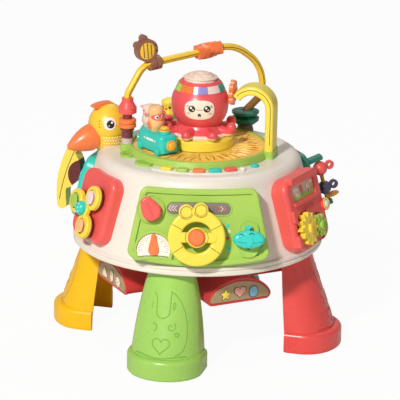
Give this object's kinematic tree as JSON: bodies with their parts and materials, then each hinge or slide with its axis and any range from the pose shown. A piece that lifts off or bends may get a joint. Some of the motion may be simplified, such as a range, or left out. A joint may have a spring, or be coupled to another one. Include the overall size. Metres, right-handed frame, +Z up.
{
  "type": "activity table",
  "caption": "Low round toddler activity table on splayed hollow legs, with play panels round a drum, a turning train disc, an octopus drum, a bead bar and a swivelling bird.",
  "frame": {"origin": "on the floor under the drum's axis", "axes": "+Z up, -Y out of the dash panel at the front, +X to the right seen from the front"},
  "size_m": [0.3752, 0.3752, 0.3923],
  "materials": {
    "ivory_plastic": "fine satin moulding",
    "meadow_green": "satin moulding",
    "leg_green": "satin moulding",
    "coral_red": "satin moulding",
    "leg_red": "satin moulding",
    "leg_yellow": "satin moulding",
    "leg_teal": "satin moulding",
    "sun_yellow": "bright satin moulding",
    "straw_yellow": "moulded straw texture",
    "teal": "bright satin moulding",
    "pine_green": "satin moulding",
    "orange": "bright satin moulding",
    "petal_cream": "bright satin moulding",
    "brown": "satin moulding",
    "bark_brown": "satin moulding",
    "navy": "satin moulding",
    "tan": "printed card face",
    "grey": "dull moulding",
    "board_green": "solder mask",
    "cell_steel": "drawn can"
  },
  "bodies": {
    "table": {"base_tray": "ivory_plastic", "battery_cells": "cell_steel", "battery_door": "coral_red", "bead_panel": "teal", "bead_rod": "straw_yellow", "bird_neck": "sun_yellow", "bus_panel": "coral_red", "circuit_board": "board_green", "dash_panel": "meadow_green", "handle_bar": "sun_yellow", "hub": "coral_red", "left_post": "coral_red", "leg_back": "leg_teal", "leg_front": "leg_green", "leg_left": "leg_yellow", "leg_right": "leg_red", "octopus_head": "coral_red", "octopus_skirt": "coral_red", "octopus_windows": "petal_cream", "pedestal": "sun_yellow", "phone_panel": "teal", "right_trunk": "bark_brown", "sign_plates": "tan", "speaker": "grey", "spinner_panel": "coral_red", "top_ring": "meadow_green", "tunnel_arch": "sun_yellow", "upper_shell": "ivory_plastic"},
    "disc": {"turntable": "straw_yellow", "train": "teal", "hen": "orange", "pig": "petal_cream", "chick": "sun_yellow"},
    "cap": {"drum_cap": "petal_cream"},
    "wheel": {"steering_wheel": "sun_yellow"},
    "horn": {"horn_button": "orange"},
    "ignition": {"key_knob": "coral_red"},
    "pointer": {"gauge_pointer": "orange"},
    "whale": {"whale_lever": "teal"},
    "flower": {"spinner": "sun_yellow", "spinner_hub": "teal"},
    "gear_a": {"gear_yellow": "sun_yellow"},
    "gear_b": {"gear_green": "meadow_green"},
    "bee": {"bee_bead": "brown"},
    "twist": {"twist_bead": "orange"},
    "post_spool": {"post_rings": "orange"},
    "trunk_spool": {"trunk_rings": "pine_green"},
    "fan": {"paddle": "orange"},
    "phone": {"handset": "straw_yellow"},
    "bead_a": {"bead_red": "coral_red"},
    "bead_b": {"bead_navy": "navy"},
    "bird": {"bird_head": "sun_yellow", "bird_beak": "orange"},
    "key_yellow": {"key_yellow": "sun_yellow"},
    "key_green": {"key_green": "meadow_green"},
    "key_orange": {"key_orange": "orange"},
    "key_teal": {"key_teal": "teal"},
    "key_red": {"key_red": "coral_red"},
    "button_white": {"button_white": "ivory_plastic"},
    "button_teal": {"button_teal": "teal"}
  },
  "joints": [
    {"name": "disc_spin", "type": "hinge", "parent": "table", "child": "disc", "pos_m": [0, 0, 0.253], "axis": [0, 0, 1], "continuous": true},
    {"name": "cap_press", "type": "slide", "parent": "table", "child": "cap", "axis": [0, 0, -1], "range_m": [0, 0.003], "stiffness_N_per_m": 250},
    {"name": "key_yellow_press", "type": "slide", "parent": "table", "child": "key_yellow", "axis": [0, 0, -1], "range_m": [0, 0.002], "stiffness_N_per_m": 150},
    {"name": "key_green_press", "type": "slide", "parent": "table", "child": "key_green", "axis": [0, 0, -1], "range_m": [0, 0.002], "stiffness_N_per_m": 150},
    {"name": "key_orange_press", "type": "slide", "parent": "table", "child": "key_orange", "axis": [0, 0, -1], "range_m": [0, 0.002], "stiffness_N_per_m": 150},
    {"name": "key_teal_press", "type": "slide", "parent": "table", "child": "key_teal", "axis": [0, 0, -1], "range_m": [0, 0.002], "stiffness_N_per_m": 150},
    {"name": "key_red_press", "type": "slide", "parent": "table", "child": "key_red", "axis": [0, 0, -1], "range_m": [0, 0.002], "stiffness_N_per_m": 150},
    {"name": "button_white_press", "type": "slide", "parent": "table", "child": "button_white", "axis": [0, 0, -1], "range_m": [0, 0.002], "stiffness_N_per_m": 150},
    {"name": "button_teal_press", "type": "slide", "parent": "table", "child": "button_teal", "axis": [0, 0, -1], "range_m": [0, 0.002], "stiffness_N_per_m": 150},
    {"name": "wheel_turn", "type": "hinge", "parent": "table", "child": "wheel", "pos_m": [-0.00116, -0.15332, 0.17847], "axis": [0.0084, -0.9612, 0.2756], "range_deg": [-70, 70]},
    {"name": "horn_press", "type": "slide", "parent": "wheel", "child": "horn", "axis": [-0.0084, 0.9612, -0.2756], "range_m": [0, 0.0028], "stiffness_N_per_m": 200},
    {"name": "ignition_turn", "type": "hinge", "parent": "table", "child": "ignition", "pos_m": [-0.05774, -0.14472, 0.21019], "axis": [0.0084, -0.9612, 0.2756], "range_deg": [-45, 45]},
    {"name": "pointer_turn", "type": "hinge", "parent": "table", "child": "pointer", "pos_m": [-0.05362, -0.15847, 0.16212], "axis": [0.0084, -0.9612, 0.2756], "range_deg": [-60, 60]},
    {"name": "whale_slide", "type": "slide", "parent": "table", "child": "whale", "axis": [-0.0024, 0.2756, 0.9613], "range_m": [-0.008, 0.008]},
    {"name": "flower_spin", "type": "hinge", "parent": "table", "child": "flower", "pos_m": [-0.13408, -0.07741, 0.18712], "axis": [-0.8325, -0.4806, 0.2756], "continuous": true},
    {"name": "gear_a_spin", "type": "hinge", "parent": "table", "child": "gear_a", "pos_m": [0.13526, -0.0927, 0.17174], "axis": [0.8407, -0.466, 0.2756], "continuous": true},
    {"name": "gear_b_spin", "type": "hinge", "parent": "table", "child": "gear_b", "pos_m": [0.15111, -0.06633, 0.16795], "axis": [0.8407, -0.466, 0.2756], "continuous": true},
    {"name": "bee_swing", "type": "hinge", "parent": "table", "child": "bee", "pos_m": [-0.05899, 0.01368, 0.35399], "axis": [0.8518, 0.5156, 0.0929], "range_deg": [-75, 75]},
    {"name": "twist_slide", "type": "slide", "parent": "table", "child": "twist", "axis": [0.8518, 0.5156, 0.0929], "range_m": [-0.045, 0]},
    {"name": "post_spool_spin", "type": "hinge", "parent": "table", "child": "post_spool", "pos_m": [-0.0915, -0.006, 0.28], "axis": [0, 0, 1], "continuous": true},
    {"name": "trunk_spool_spin", "type": "hinge", "parent": "table", "child": "trunk_spool", "pos_m": [0.0595, 0.0854, 0.262], "axis": [0, 0, 1], "continuous": true},
    {"name": "fan_spin", "type": "hinge", "parent": "table", "child": "fan", "pos_m": [0.03868, -0.00893, 0.3235], "axis": [0.9744, -0.225, 0], "continuous": true},
    {"name": "phone_pull", "type": "slide", "parent": "table", "child": "phone", "axis": [-0.9142, 0.297, 0.2756], "range_m": [0, 0.04]},
    {"name": "bead_a_spin", "type": "hinge", "parent": "table", "child": "bead_a", "pos_m": [0.15947, 0.07436, 0.19744], "axis": [-0.2498, -0.1165, 0.9613], "continuous": true},
    {"name": "bead_b_spin", "type": "hinge", "parent": "table", "child": "bead_b", "pos_m": [0.15947, 0.07436, 0.19744], "axis": [-0.2498, -0.1165, 0.9613], "continuous": true},
    {"name": "bird_turn", "type": "hinge", "parent": "table", "child": "bird", "pos_m": [-0.1175, 0.027, 0.2595], "axis": [0, 0, 1], "range_deg": [-12, 12]}
  ],
  "couplings": [
    {"joint": "gear_b_spin", "follows": "gear_a_spin", "ratio": -1.5}
  ]
}
